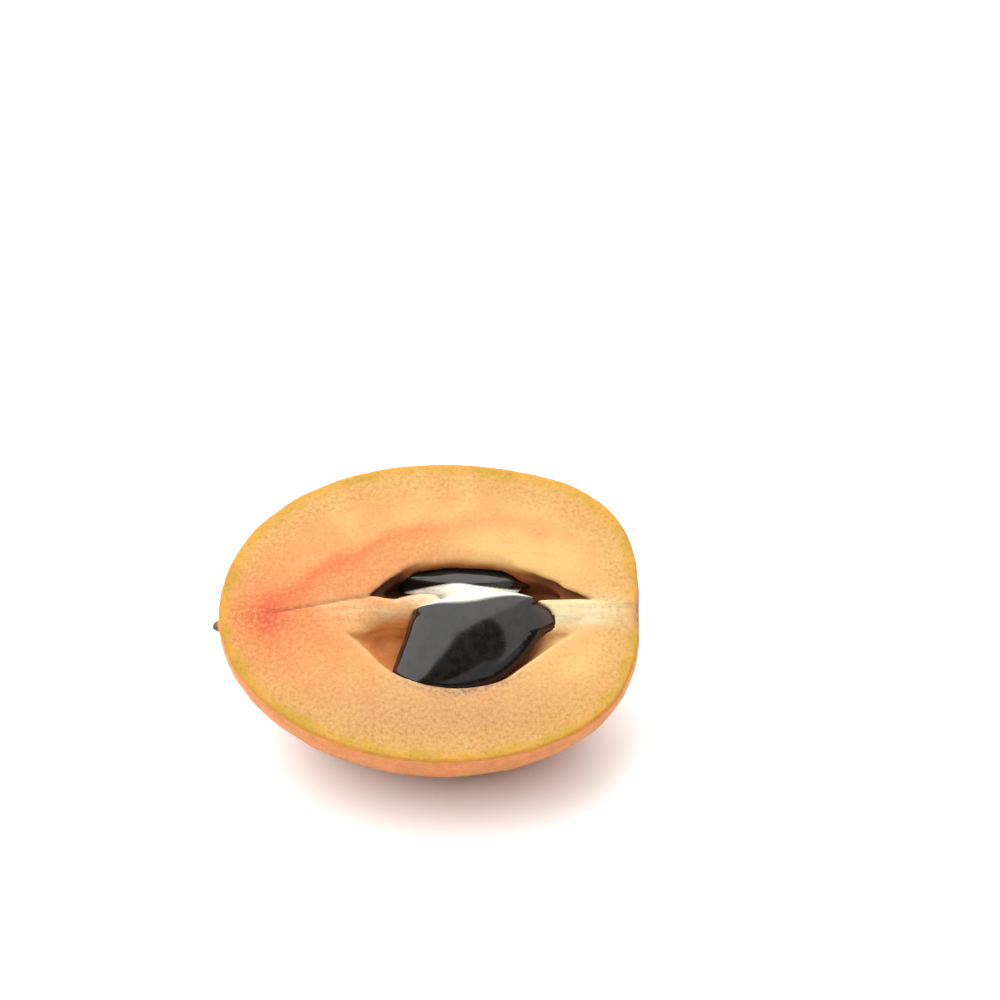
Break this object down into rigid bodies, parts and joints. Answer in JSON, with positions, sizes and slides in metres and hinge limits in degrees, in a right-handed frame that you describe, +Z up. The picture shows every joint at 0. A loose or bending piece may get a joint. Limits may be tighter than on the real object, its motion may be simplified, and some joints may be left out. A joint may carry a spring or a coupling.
{
  "type": "sapodilla half",
  "caption": "Lengthwise cut half of a ripe sapodilla: orange-brown flesh, scurfy brown skin and glossy black seeds in its hollows, resting on a small flat spot.",
  "frame": {"origin": "on the flat spot of the skin that the half rests on, below the middle of the fruit", "axes": "+X along the core from the blossom end to the stem end, +Z up; the cut face looks up and leans 22 degrees towards -Y"},
  "size_m": [0.057, 0.0421, 0.0297],
  "materials": {
    "fruit": "satin",
    "seed": "gloss"
  },
  "bodies": {
    "root": {"fruit_half": "fruit", "seed_lower": "seed", "seed_upper": "seed"}
  },
  "joints": []
}
